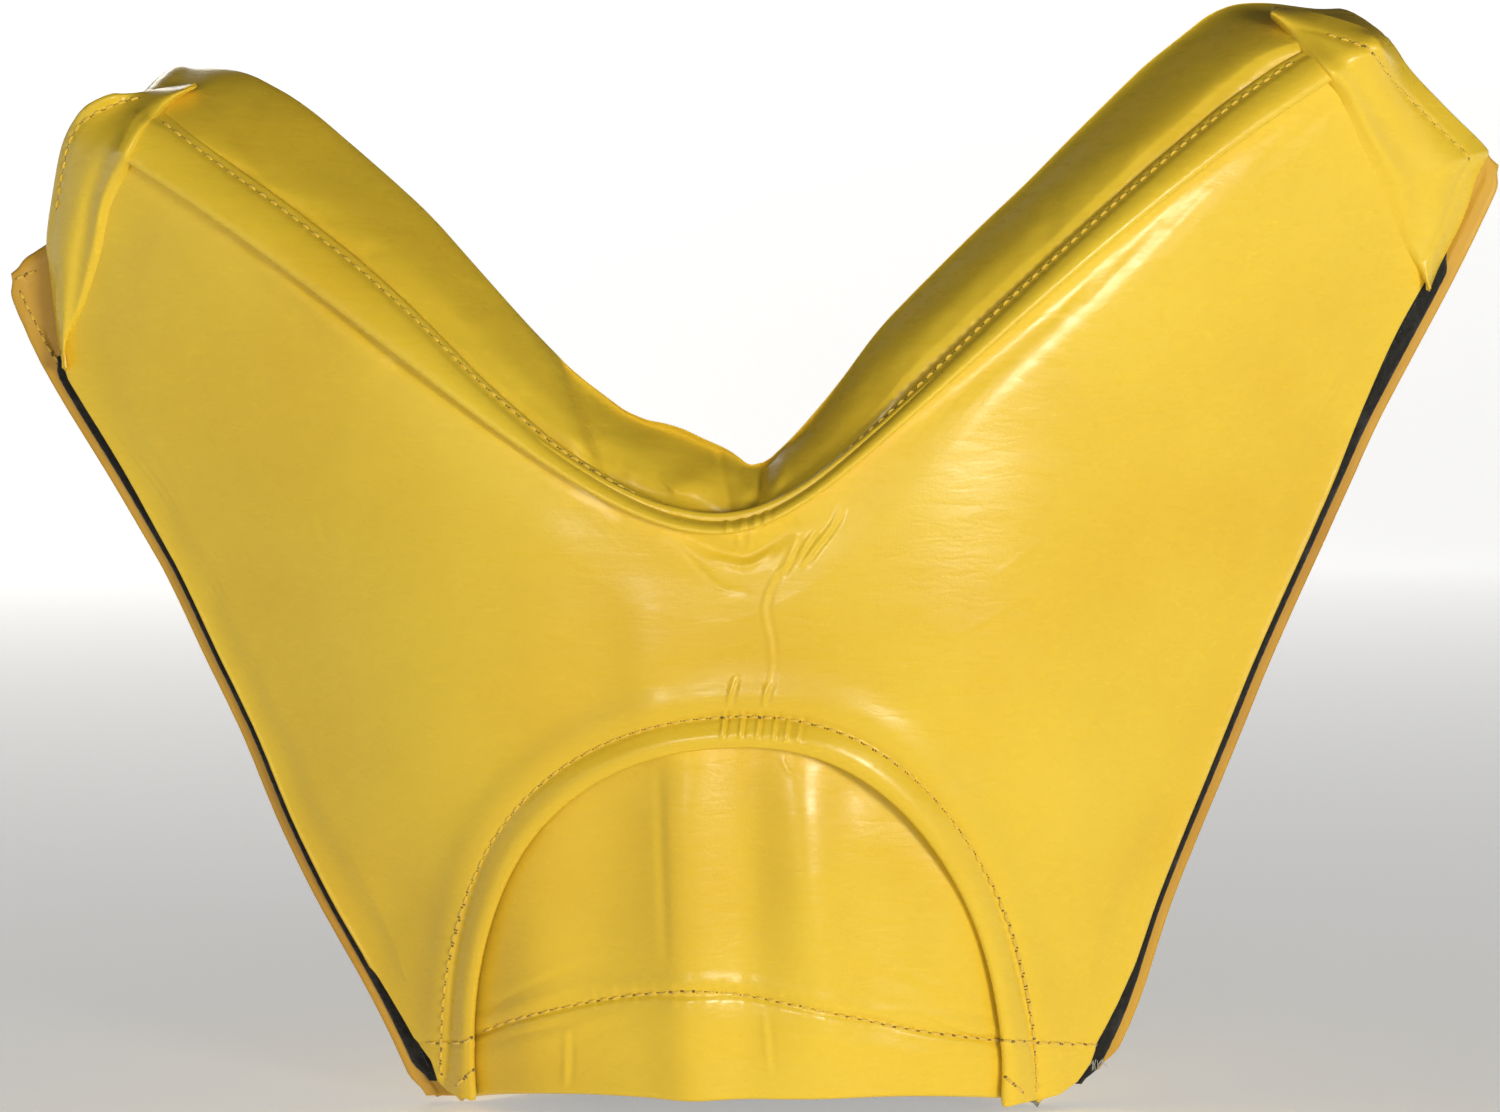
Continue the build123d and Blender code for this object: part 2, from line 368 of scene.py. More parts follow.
def add_thread(verts, faces, spots, out):
    """One stitch: a closed tube through the spots, which starts and ends under the leather."""
    middle, way = spots + out * THREAD_RISE[:, None], unit(spots[-1] - spots[0])
    base = len(verts)
    for k in range(RINGS):
        across = unit(np.cross(way, out[k]))
        radius = THREAD_RADIUS * (0.7 if k in (0, RINGS - 1) else 1)
        verts += [middle[k] + radius * (across * math.cos(t) + out[k] * math.sin(t)) for t in TURNS]
    faces += tube_faces(base, RINGS, SIDES)


def add_hole_shade(verts, faces, spot, out):
    """One needle hole: a flat double cone, with its upper point just above the leather; the stitches colour
    it dark, as painted shade inside the hole.
    """
    a = unit(np.cross(out, (0.3, 0.2, 0.9)))
    b = np.cross(out, a)
    base = len(verts)
    verts += [spot + HOLE_SHADE_RADIUS * (a * math.cos(t) + b * math.sin(t)) - out * 0.05 for t in TURNS]
    verts += [spot + out * 0.05, spot - out * 0.25]
    faces += [[base + m, base + (m + 1) % SIDES, base + SIDES] for m in range(SIDES)]
    faces += [[base + (m + 1) % SIDES, base + m, base + SIDES + 1] for m in range(SIDES)]


def stitches(name, line, cast, body, pitch=3.3, long=2.3):
    """A row of lockstitches along a line: each is a short thread between two needle-hole marks, small dark
    cones that are painted shade.
    """
    line = resample(line, 600)
    run = np.concatenate([[0], np.cumsum(np.linalg.norm(np.diff(line, axis=0), axis=1))])
    verts, faces, hole_shades = [], [], []
    for start in np.arange(0.5, run[-1] - long, pitch):
        at = start + np.linspace(0, long, RINGS)
        found = [cast((np.interp(s, run, line[:, 0]), np.interp(s, run, line[:, 1]))) for s in at]
        if any(h is None for h in found):
            continue
        spots, out = np.array([h[0] for h in found]), np.array([h[1] for h in found])
        if np.linalg.norm(np.diff(spots, axis=0), axis=1).max() > LONGEST_STEP:
            continue
        way = unit(spots[-1] - spots[0])
        add_thread(verts, faces, spots, out)
        hole_shades += [(spots[0] - way * 0.15, out[0]), (spots[-1] + way * 0.15, out[-1])]
    threads = len(faces)
    for spot, out in hole_shades:
        add_hole_shade(verts, faces, spot, out)
    # The cones after the threads get the second material, dark brown painted shade inside each needle hole.
    obj = make(name, verts, faces, body, "cover_leather", [THREAD, NEEDLE_HOLE_SHADE])
    obj.data.polygons.foreach_set("material_index", [0] * threads + [1] * (len(faces) - threads))


# -------------------- materials


def principled(name, colour, rough, coat=0.0, sheen=0.0):
    """A plain material, with its node tree and its shader."""
    material = bpy.data.materials.new(name)
    material.use_nodes = True
    shader = material.node_tree.nodes["Principled BSDF"]
    shader.inputs["Base Color"].default_value = (*colour, 1)
    shader.inputs["Roughness"].default_value = rough
    shader.inputs["Coat Weight"].default_value = coat
    shader.inputs["Coat Roughness"].default_value = 0.14
    shader.inputs["Sheen Weight"].default_value = sheen
    shader.inputs["Specular IOR Level"].default_value = 0.34
    return material, material.node_tree, shader


def node(tree, kind, **inputs):
    """A new node with values on its inputs."""
    n = tree.nodes.new(kind)
    for key, value in inputs.items():
        n.inputs[key.replace("_", " ")].default_value = value
    return n


def bumps(tree, shader, heights):
    """Chains bumps of (height socket, strength, distance) into the shader."""
    last = None
    for socket, strength, distance in heights:
        bump = node(tree, "ShaderNodeBump", Strength=strength, Distance=distance)
        tree.links.new(socket, bump.inputs["Height"])
        if last:
            tree.links.new(last, bump.inputs["Normal"])
        last = bump.outputs["Normal"]
    tree.links.new(last, shader.inputs["Normal"])


def tinted(tree, shader, value, stops):
    """Colours the shader from a value, by (place, colour) stops with the two ends first."""
    tint = tree.nodes.new("ShaderNodeValToRGB")
    ramp = tint.color_ramp.elements
    for k, (place, colour) in enumerate(stops):
        stop = ramp[k] if k < 2 else ramp.new(place)
        stop.position, stop.color = place, (*colour, 1)
    tree.links.new(value, tint.inputs["Fac"])
    tree.links.new(tint.outputs["Color"], shader.inputs["Base Color"])


def leather(name, colour, worn, deep, rough, coat):
    """Coated leather: cloudy colour, pores, fine wrinkles that run across the light, and rubbed patches."""
    material, tree, shader = principled(name, colour, rough, coat)
    link = tree.links.new
    place = tree.nodes.new("ShaderNodeTexCoord").outputs["Object"]

    cloud = node(tree, "ShaderNodeTexNoise", Scale=11.0, Detail=3.0)
    link(place, cloud.inputs["Vector"])
    tinted(tree, shader, cloud.outputs["Fac"], [(0.30, deep), (0.72, worn), (0.5, colour)])

    stretch = node(tree, "ShaderNodeMapping")
    stretch.inputs["Scale"].default_value = (0.45, 1.0, 1.9)
    stretch.inputs["Rotation"].default_value = (0, math.radians(14), 0)
    link(place, stretch.inputs["Vector"])
    wrinkle = node(tree, "ShaderNodeTexNoise", Scale=210.0, Detail=5.0, Distortion=0.6)
    link(stretch.outputs["Vector"], wrinkle.inputs["Vector"])
    pores = node(tree, "ShaderNodeTexVoronoi", Scale=1500.0)
    link(place, pores.inputs["Vector"])
    swell = node(tree, "ShaderNodeTexNoise", Scale=38.0, Detail=2.0)
    link(stretch.outputs["Vector"], swell.inputs["Vector"])
    bumps(tree, shader, [(swell.outputs["Fac"], 0.30, 0.0016), (wrinkle.outputs["Fac"], 0.20, 0.0005),
                         (pores.outputs["Distance"], 0.06, 0.0002)])

    rub = node(tree, "ShaderNodeMapRange", From_Min=0.3, From_Max=0.75,
               To_Min=rough - 0.07, To_Max=rough + 0.11)
    link(wrinkle.outputs["Fac"], rub.inputs["Value"])
    link(rub.outputs["Result"], shader.inputs["Roughness"])
    return material


def woven(name, colour, light, scale, strength, sheen):
    """Loop pile, hooks or brushed cloth: a tangle of small round bumps with lint on it."""
    material, tree, shader = principled(name, colour, 0.85, 0, sheen)
    link = tree.links.new
    place = tree.nodes.new("ShaderNodeTexCoord").outputs["Object"]
    knots = node(tree, "ShaderNodeTexVoronoi", Scale=scale)
    link(place, knots.inputs["Vector"])
    lint = node(tree, "ShaderNodeTexNoise", Scale=scale / 7, Detail=5.0)
    link(place, lint.inputs["Vector"])
    tinted(tree, shader, lint.outputs["Fac"], [(0.55, colour), (0.78, light)])
    bumps(tree, shader, [(knots.outputs["Distance"], strength, 0.0008), (lint.outputs["Fac"], 0.4, 0.0006)])
    return material


def spun(name, colour):
    """Twisted thread: fine bands across its length."""
    material, tree, shader = principled(name, colour, 0.5, 0, 0.3)
    twist = node(tree, "ShaderNodeTexNoise", Scale=2600.0, Detail=2.0)
    tree.links.new(tree.nodes.new("ShaderNodeTexCoord").outputs["Object"], twist.inputs["Vector"])
    bumps(tree, shader, [(twist.outputs["Fac"], 0.5, 0.0002)])
    return material


YELLOW = leather("yellow_leather", (0.82, 0.565, 0.040), worn=(0.86, 0.615, 0.050), deep=(0.77, 0.50, 0.032),
                 rough=0.29, coat=0.10)
# The flaps' leather is the cover's yellow painted darker and more orange: painted shade for the flaps' inner
# faces, which lie in shadow.
FACING_PAINTED_SHADE = leather("turned_leather_painted_shade", (0.62, 0.34, 0.032), worn=(0.68, 0.40, 0.040), deep=(0.50, 0.25, 0.020),
                 rough=0.50, coat=0.05)
THREAD = spun("yellow_thread", (0.80, 0.55, 0.055))
# Painted shade: dark brown for the small cones at the stitches' ends, which stand for the shade inside each
# needle hole.
NEEDLE_HOLE_SHADE = spun("needle_hole_shade", (0.24, 0.12, 0.008))
HOOK = woven("hook_tape", (0.010, 0.010, 0.010), (0.030, 0.029, 0.027), 900.0, 0.9, 0.15)
LOOP = woven("loop_tape", (0.014, 0.014, 0.013), (0.045, 0.044, 0.040), 620.0, 0.8, 0.35)
LINING = woven("brushed_lining", (0.040, 0.037, 0.031), (0.075, 0.070, 0.060), 1300.0, 0.4, 0.45)
FRAY = spun("frayed_fibre", (0.75, 0.73, 0.68))

# -------------------- the guard's outline and curves


def half_width(z):
    """Half the width across the rear flaps' edges."""
    return 85 + 0.445 * z


def rim_z(x):
    """Height of the front guard's V-shaped rim."""
    return 147.6 + 0.92 * (np.sqrt(x * x + 700) - 26.5) - 10 * (x / 143) ** 4


def rear_rim_z(x):
    """Height of the rear panel's rim."""
    return 134 + 0.86 * (np.sqrt(x * x + 1200) - 34.6) - 9 * (x / 150) ** 4


def front_y(x, z):
    """Depth of the front guard's face, which is nearest the camera in the middle."""
    s = np.clip(np.abs(x) / (half_width(z) - 5), 0, 1)
    return -3.4 - (40 + 0.1 * z) * (1 - s**2.3) ** 1.25


def rear_y(x, z):
    """Depth of the rear panel's face."""
    s = np.clip(np.abs(x) / (half_width(z) - 15.5), 0, 1)
    return 4.6 + (42.5 + 0.091 * z) * (1 - s**2.2) ** 1.05


# How far the border bows outwards, by height, at the left (-1) and the right (1) of the picture.
EDGE_BOW = {-1: [(0, -0.6), (20, -1), (40, 1), (60, 2.2), (80, 0.5), (100, -3.6), (120, -3.6),
                 (160, -2.6), (200, 3), (212, 2.6), (221, 0.4)],
            1: [(0, 0), (20, 2.6), (40, -0.6), (60, -1.8), (100, 0), (120, 0.4), (150, -1.4),
                (200, 1), (223, 0)]}


def settle(p):
    """The way the soft guard leans and bows: its right lobe stands higher than its left one."""
    x, z = p[..., 0], p[..., 2]
    out = p.copy()
    out[..., 2] += 13 * np.tanh(x / 55) * smooth(60, 165, z) * (1 - 0.33 * smooth(245, 272, z))
    out[..., 0] += 4.5 * (x / 183) * (z / 221) ** 2 - 0.03 * z * smooth(0, 95, z) * (1 - smooth(100, 150, z))
    outer = smooth(0.55, 1.0, np.abs(x) / half_width(z))
    for side in (-1, 1):
        out[..., 0] += np.where(x * side > 0, outer * side * keyed(z, EDGE_BOW[side], 12), 0)
    return out


# -------------------- front guard


def side_inset(z, side):
    """How far the front guard's edge stays inside the rear flap's edge."""
    wide_top = {-1: 0.8, 1: 2.9}[side] * hill(z, 184, 24)
    return 4.4 + 2.4 * hill(z, 10, 18) + wide_top


GUARD_FOOT = {-1: [(74, 2.2), (77.5, 3.2), (79.5, 6), (81, 10.5)],
              1: [(72, 2.2), (77, 3.1), (81, 5.8), (84, 10.5)]}
# How far the shoulder's slope leans in, how far it bulges, and how tall it is.
GUARD_SLOPE = {-1: (12, 7, 51), 1: (17, 0, 45)}


def guard_outline():
    """The front guard's outline, from the left foot of the arch up and round to its right foot."""
    sides = {}
    for side in (-1, 1):
        edge = [(half_width(z) - side_inset(z, side), z) for z in np.linspace(16, 196, 40)]
        lean, bulge, tall = GUARD_SLOPE[side]
        slope = [(167 - lean * t + bulge * math.sin(math.pi * t), 199 + tall * t)
                 for t in np.linspace(0, 1, 12)]
        sides[side] = [(side * x, z) for x, z in GUARD_FOOT[side] + edge + slope]
    rim = [(x, rim_z(x) + 3) for x in np.linspace(-149, 149, 160)]
    return sides[-1] + rim + sides[1][::-1]


ARCH_HALF_WIDTH, ARCH_HEIGHT = 67.5, 94.5


def arch_line():
    """The arched opening's edge: wider at its shoulders than an ellipse, and leaning to the left."""
    t = np.linspace(math.pi, 0, 400)
    x = ARCH_HALF_WIDTH * np.sign(np.cos(t)) * np.abs(np.cos(t)) ** 0.88
    z = ARCH_HEIGHT * np.sin(t) ** 0.88
    return np.stack([x - 3.3 * (1 - (z / ARCH_HEIGHT) ** 2),
                     np.maximum(z - 0.03 * x * z / ARCH_HEIGHT, 2.2)], 1)


def pleat(x, z, line, height, width):
    """A pinched line: a ridge with a groove to its right."""
    return ridge(x, z, line, height, width) + ridge(x - 1.6 * width, z, line, -0.8 * height, width)


def guard_relief(x, z):
    """How far the leather stands proud of its smooth shape, by where it is seen."""
    out = 2.8 * hill(x, 62, 34) * hill(z, 118, 40) + 1.8 * hill(x, -72, 34) * hill(z, 122, 45)
    out -= (0.8 * hill(x + 0.6 * (z - 120), -8, 15) * hill(z, 124, 16)
            + 1.0 * hill(x, 96, 14) * hill(z, 120, 40))
    out -= 2.2 * hill(x, -90, 13) * hill(z, 50, 16) + 0.8 * hill(x, 52, 11) * hill(z, 88, 10)
    out += 1.0 * hill(x, -25, 8) * hill(z, 106, 12) - 0.7 * hill(x, -38, 9) * hill(z, 120, 22)
    out += ridge(x, z, [(-124, 215), (-90, 185)], 1.1, 4.5)
    out -= ridge(x, z, [(-150, 230), (-120, 212.5), (-88, 188), (-56, 165), (-30, 148)], 1.1, 2.4)
    out -= ridge(x, z, [(150, 252), (120, 238), (62, 188), (20, 156)], 0.9, 3.6)
    out -= ridge(x, z, [(-21, 146), (-9, 140), (-1, 138), (5, 141), (12, 147)], 1.5, 2.6)
    out += ridge(x, z, [(-9, 137.6), (-0.5, 135.8), (6, 139.5)], 0.5, 0.9)
    out -= ridge(x, z, [(-18, 141), (-12, 134.5), (-7, 130), (0, 129)], 0.3, 0.8)
    fold = [(11, 143), (9.5, 137), (6, 132), (3.6, 125), (5.2, 117), (5.6, 110), (4, 101)]
    out += pleat(x, z, fold, 0.26, 0.7)
    for line in ([(23, 151), (21, 146), (16.5, 140), (12.8, 135)], [(16.5, 144.5), (12, 137)],
                 [(12, 143), (10.5, 138), (7.8, 133)], [(1.2, 144.5), (-0.3, 139.5)],
                 [(-2.3, 144), (-2.6, 140)], [(-3.6, 108), (-5.4, 100.5)], [(4.5, 106), (3.4, 100.5)]):
        out += pleat(x, z, line, 0.42, 0.62)
    for line in ([(-56, 111), (-44, 110)], [(-52, 107.5), (-46, 107)], [(84, 158), (92, 163)],
                 [(96, 150), (101, 155)], [(30, 108), (48, 112)], [(36, 103), (56, 106)],
                 [(50, 118), (68, 127)], [(44, 97), (60, 99)], [(60, 133), (74, 142)],
                 [(-110, 150), (-106, 140)]):
        out += pleat(x, z, line, 0.20, 0.7)
    for foot in ((-6.5, 0.3), (-2, 0.2), (2.2, 0), (6.3, -0.4), (9.4, -0.8), (12.4, -1.2)):
        out += pleat(x, z, [(foot[0] + 0.5, 99.2 + foot[1]), (foot[0] - 0.4, 92 + foot[1])], 0.55, 0.55)
    for hem in ([(-84, 16.4), (-68, 16.4)], [(60, 17), (90, 15.6)]):
        out -= ridge(x, z, hem, 0.5, 0.8)
    return out


LINING_THICK, LINING_GAP = 0.9, 0.3


def lining_sheet(name, grid, body, toward=FORWARD):
    """A thin sheet of lining on a grid of points."""
    solid = slab(grid, np.full(grid.shape[:2], LINING_THICK), toward, rounds=1)
    return make(name, *solid, body, "lining_fabric", LINING)


# The guard's grid runs along the outline in rows, and from the arch to the outer edge in columns.
ROWS, COLS, COARSE = 577, 137, 4
DENSER = ((0.5, 0.05, 2.2), (0, 0.03, 1.5), (1, 0.03, 1.5))
inner, outer = resample(arch_line(), ROWS, DENSER), resample(guard_outline(), ROWS, DENSER)
share = np.linspace(0, 1, COLS)[None, :] ** 1.4
place = inner[:, None, :] * (1 - share)[..., None] + outer[:, None, :] * share[..., None]
spread = np.linalg.norm(outer - inner, axis=1)[:, None]
from_arch, from_edge = spread * share, spread * (1 - share)
x, z = place[..., 0], place[..., 1]
y = front_y(x, z) - 1.9 * hill(from_arch, 2.2, 3.4) + 0.8 * hill(from_arch, 7.2, 1.0)
y -= 0.8 * hill(from_arch, 12, 4)
guard = settle(np.stack([x, y, z], -1))
thick = 2.4 + 8.6 * smooth(4, 30, np.minimum(from_arch + 2, from_edge))
free = smooth(2, 34, np.minimum(from_arch - 9, from_edge - 4))
lift = cloth_lift(guard[::COARSE, ::COARSE], free[::COARSE, ::COARSE], (0, -14, 0), 0.012, 1.3)
guard += finer(lift, ROWS, COLS)
lining = guard[::COARSE, ::COARSE]
guard = raised(guard, FORWARD, guard_relief(*in_view(guard)))
front_guard = make("front_guard_cover", *slab(guard, thick, coarse=COARSE), "front", "cover_leather", YELLOW)
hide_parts("front_cover", "left_cheek_pad", "right_cheek_pad", "chin_welt",
            "left_front_border", "right_front_border")

lining = raised(lining, FORWARD, -(thick[::COARSE, ::COARSE] + LINING_GAP))
front_lining = lining_sheet("front_lining_cover", lining[:, 1:-2], "front")
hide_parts("front_lining")

# -------------------- chin panel

HEM_STITCH = [(-84, 16.4), (-72, 16.4), (-68, 18.4), (-59, 22), (-42.5, 26), (-26, 28.5), (-9, 29),
              (5, 27), (24, 23), (41, 19.5), (62, 17), (90, 15.6)]
CHIN_SET_BACK, CHIN_THICK = 3.6, 2.2


def chin_relief(x, z):
    """Upright flutes, which flatten towards the top, and the hem seam."""
    out = 2.6 * hill(x + 0.03 * z, -14.5, 8) - 1.9 * hill(x, 0.5, 7) * hill(z, 50, 50)
    out += 2.6 * hill(x - 0.10 * (60 - z), 14, 8) * hill(z, 52, 34) - 2.0 * hill(x, 33, 11) * hill(z, 45, 38)
    out -= 2.6 * hill(x, -37, 12) * hill(z, 55, 40)
    out += 1.6 * hill(x, -54, 8) * hill(z, 30, 24) + 1.3 * hill(x, 53, 8) * hill(z, 35, 28)
    out -= 0.9 * hill(x, 26, 7) * hill(z, 80, 10) + 0.9 * hill(x, -22, 9) * hill(z, 84, 9)
    out -= ridge(x, z, [(-22.5, 86), (-21.5, 60), (-20.5, 34)], 0.55, 1.5)
    seam = keyed(x, HEM_STITCH, 5)
    out -= 0.75 * hill(z, seam, 0.9)
    out += 0.6 * hill(z, seam - 6, 4.5) + 0.35 * hill(z, seam + 3, 2)
    out += pleat(x, z, [(-45.4, 20), (-46, 5)], 0.5, 0.7) + pleat(x, z, [(3.6, 24), (5.2, 8)], 0.35, 0.8)
    out += pleat(x, z, [(8, 88), (10, 84.5), (12.5, 83)], 0.3, 0.5)
    for start in np.arange(-40, 34, 5.3):
        at = keyed(np.array(start), HEM_STITCH)
        out += pleat(x, z, [(start, at + 3.5), (start + 0.6, at - 3)], 0.16, 0.6)
    return out


# u runs across the panel, and w up it from the hem.
u = np.linspace(-74, 71, 217)[:, None]
w = np.linspace(0, 1, 145)[None, :]
top = 101 * np.sqrt(np.clip(1 - ((u + 2.5) / 77) ** 2, 0.05, 1))
low = 1.6 + 5.8 * np.clip(1 - (np.abs(u + 1) / 73) ** 4, 0, 1)
x, z = u + 0 * w, low + (top - low) * w
chin = settle(np.stack([x, front_y(x, z) + CHIN_SET_BACK, z], -1))
free = smooth(0, 22, np.minimum(np.minimum(u + 72, 69 - u), (1 - w) * 90)) * smooth(0, 0.3, w)
lift = cloth_lift(chin[::COARSE, ::COARSE], free[::COARSE, ::COARSE], (0, -8, 0), 0.006, 2.0)
chin += finer(lift, *x.shape)
chin = raised(chin, FORWARD, chin_relief(*in_view(chin)))
chin_solid = slab(chin, np.full(x.shape, CHIN_THICK), coarse=COARSE)
chin_panel = make("chin_panel_cover", *chin_solid, "front", "cover_leather", YELLOW)
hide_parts("chin_panel", "chin_pad", "front_hem_facing")

behind_chin = raised(chin[::COARSE, ::COARSE], FORWARD, -(CHIN_THICK + 0.4))
lining_sheet("chin_lining_cover", behind_chin[:, 2:-1], "front")

# -------------------- roll along the V rim

# How high the roll stands over the rim, and how deep it is, by place across the guard.
ROLL_RISE = [(-150, 21.2), (-140, 28.4), (-125, 30.5), (-110, 30.2), (-95, 28.2), (-82, 24.8), (-67, 21),
             (-52, 17.6), (-37, 16.6), (-28, 19.3), (-15, 18.2), (-8, 17), (4, 12.2), (12, 12.4), (22, 14.6),
             (32, 16.8), (45, 20.6), (60, 21.8), (82, 22.8), (100, 25.4), (120, 28.8), (130, 32),
             (137, 29.5), (145, 21), (150, 16.5)]
ROLL_DEPTH = [(0, 10.5), (45, 13.5), (100, 17), (150, 19)]
# How far the roll reaches below the rim, and how far it stands behind the guard's face.
FOOT, ROLL_SET_BACK = 6, 3


def rim_frame(x):
    """Height of the rim at x, and the direction square to it."""
    z = rim_z(x)
    a = np.stack([np.ones_like(x), np.gradient(z, x)], 1)
    a /= np.linalg.norm(a, axis=1, keepdims=True)
    return z, np.stack([-a[:, 1], a[:, 0]], 1)


def roll_size(x):
    """The roll's height over the rim and its depth, as columns."""
    return keyed(x, ROLL_RISE, 4)[:, None], keyed(np.abs(x), ROLL_DEPTH, 10)[:, None]


def roll_lean(height, rise, deep):
    """How far the roll leans back at a height, so that its upper panel faces up."""
    return 0.5 * deep * smooth(0.38, 1.05, (height + FOOT) / (rise + FOOT))


def roll_front(height, rise, deep):
    """How far forward the roll reaches at a height above the rim."""
    s = np.clip((height - (rise - FOOT) / 2) / ((rise + FOOT) / 2), -1, 1)
    upper, lower = (1 - np.abs(s) ** 1.29) ** 0.775, (1 - np.abs(s) ** 2.2) ** 0.45
    return deep * np.where(s > 0, upper, lower) - roll_lean(height, rise, deep)


def roll_rings(x, turn):
    """The roll's rings: its section is flatter at its upper front than elsewhere."""
    z, up = rim_frame(x)
    rise, deep = roll_size(x)
    c, s = np.cos(turn), np.sin(turn)
    power = np.where((c > 0) & (s > 0), 1.55, 0.9)
    height = (rise - FOOT) / 2 + (rise + FOOT) / 2 * np.sign(s) * np.abs(s) ** power
    lean = roll_lean(height, rise, deep)
    reach = np.where(c > 0, deep, deep - lean) * np.sign(c) * np.abs(c) ** power
    depth = front_y(x, z)[:, None] + ROLL_SET_BACK + deep + lean - reach
    return np.stack([x[:, None] + up[:, :1] * height, depth, z[:, None] + up[:, 1:] * height], -1)


def roll_relief(x, z):
    """How far the roll's face falls back.

    Its left arm ends at a slanting crease, and its middle is a hollow with folds.
    """
    side = x + 47 - (184.5 - z) * 0.36
    back = 4.0 * smooth(-0.8, 2.2, side) * (1 - smooth(18, 48, side)) - 1.1 * hill(side, -3.4, 3)
    back += (4.5 * smooth(152, 174, z) * hill(x, 2, 24)
             + 3.5 * smooth(21, 48, z - rim_z(x)) * smooth(12, 40, x))
    back -= 2.8 * hill(x, -15.5, 6.5) * hill(z, 155.5, 4.5)
    back += 1.5 * hill(x, 3 + (z - 158) * 0.15, 1.0) + 1.0 * hill(x, -6.5 - (z - 158) * 0.2, 1.1)
    back -= 0.8 * hill(x, 7.5 + (z - 158) * 0.2, 1.6)
    back += (pleat(x, z, [(-33, 161), (-30, 157.5)], 0.6, 0.8)
             + pleat(x, z, [(-24, 158), (-19, 153)], 0.7, 0.8))
    back += (ridge(x, z, [(-134, 256), (-120, 232)], 0.9, 3)
             + ridge(x, z, [(112, 272), (119, 254)], 0.6, 4))
    return back


x = np.linspace(-150, 150, 341)
turn = np.linspace(-math.pi / 2, 1.5 * math.pi, 97)[:-1][None, :]
rings = roll_rings(x, turn)
caps = {}
for side, edge, near in ((-1, 0, 1), (1, -1, -2)):
    centre = rings[edge].mean(0)
    way = unit(centre - rings[near].mean(0))
    caps[side] = [centre + (rings[edge] - centre) * max(math.cos(t), 0.05) + way * 6 * math.sin(t)
                  for t in np.linspace(0, math.pi / 2, 8)[1:]]
rings = settle(np.concatenate([caps[-1][::-1], rings, caps[1]]))
count = len(rings)
from_end = np.minimum(np.arange(count), count - 1 - np.arange(count))
free = smooth(0.0, 0.5, 1 + np.sin(turn)) * np.clip(from_end / 30, 0, 1)[:, None]
# The cloth keeps every third ring, and every fourth point of a ring.
lift = cloth_lift(rings[::3, ::4], free[::3, ::4], (0, 0, 6), 0.012, 2.0, around=True)
closed = np.concatenate([lift, lift[:, :1]], 1)
rows = 3 * (len(lift) - 1) + 1
rings[:rows] += finer(closed, rows, rings.shape[1] + 1)[:, :-1]
rings[..., 1] += smooth(-0.15, 0.5, np.cos(turn)) * roll_relief(*in_view(rings))
roll = make("rim_roll_pad", *tube(rings), "front", "cover_leather", YELLOW)
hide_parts("rim_roll_cover", "left_roll_core", "right_roll_core")

# -------------------- rim band

BAND_WIDTH = [(-150, 12.5), (-120, 12.5), (-100, 12), (-85, 10.5), (-67, 7.2), (-48, 5), (-20, 4.2),
              (20, 4.2), (40, 4.8), (56, 5.6), (80, 6.8), (100, 8), (120, 9.4), (140, 9.8), (150, 8.8)]
BAND_THICK, BAND_SEAM_COLUMN = 2.4, 28
x = np.linspace(-150, 150, 601)
z, up = rim_frame(x)
rise, deep = roll_size(x)
wide = keyed(x, BAND_WIDTH, 4)[:, None]
b = np.linspace(0, 1, 33)[None, :]
height = wide * b - 0.5
low_y = front_y(x, z)[:, None] - 3.0
high_y = front_y(x, z)[:, None] + ROLL_SET_BACK + deep - roll_front(height, rise, deep) - 0.7
y = low_y + (high_y - low_y) * b**1.6 - 1.5 * np.sin(math.pi * b) ** 0.8 * np.minimum(1, wide / 9)
y += 0.7 * hill((1 - b) * wide, 1.3, 0.8)
band = settle(np.stack([x[:, None] + up[:, :1] * height, y, z[:, None] + up[:, 1:] * height], -1))
across, _ = in_view(band)
for pucker in (-5.6, -1.8, 1.4, 4.0):
    band[..., 1] -= 0.5 * hill(across, pucker, 0.7) - 0.4 * hill(across, pucker + 1.3, 0.7)
band_solid = slab(band, np.full(y.shape, BAND_THICK), coarse=COARSE)
rim_band = make("rim_band_cover", *band_solid, "front", "cover_leather", YELLOW)
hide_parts("rim_band")

# -------------------- flaps and tapes at both side borders


def strip(name, side, insets, y, thick, low, high, body, slot, material, replaced, rise=0.0, hem=0.0):
    """An upright strip along a side border, insets inside the rear flap's edge.

    rise lifts the inner end of its top, and hem is the width of a turned border that stands proud.
    """
    w, b = np.linspace(0, 1, 181)[:, None], np.linspace(0, 1, 25)[None, :]
    z = low + (high + rise * b - low) * w
    corner = 2.2 * (smooth(0.965, 1.0, w) ** 2 + smooth(0.03, 0, w) ** 2) * (1 - smooth(0, 0.5, b))
    inset = insets[0] + (insets[1] - insets[0]) * b + corner
    x = side * (half_width(z) - inset)
    depth = y + 0.25 * np.sin(z / 9.0 + side) + 0 * b
    turned = (b * (insets[1] - insets[0]) < hem) | ((1 - w) * (high - low) < hem)
    depth = depth - np.where(turned, 0.45, 0) * (hem > 0)
    solid = slab(settle(np.stack([x, depth, z], -1)), np.full(z.shape, thick), coarse=COARSE)
    piece = make(name, *solid, body, slot, material)
    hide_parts(replaced)


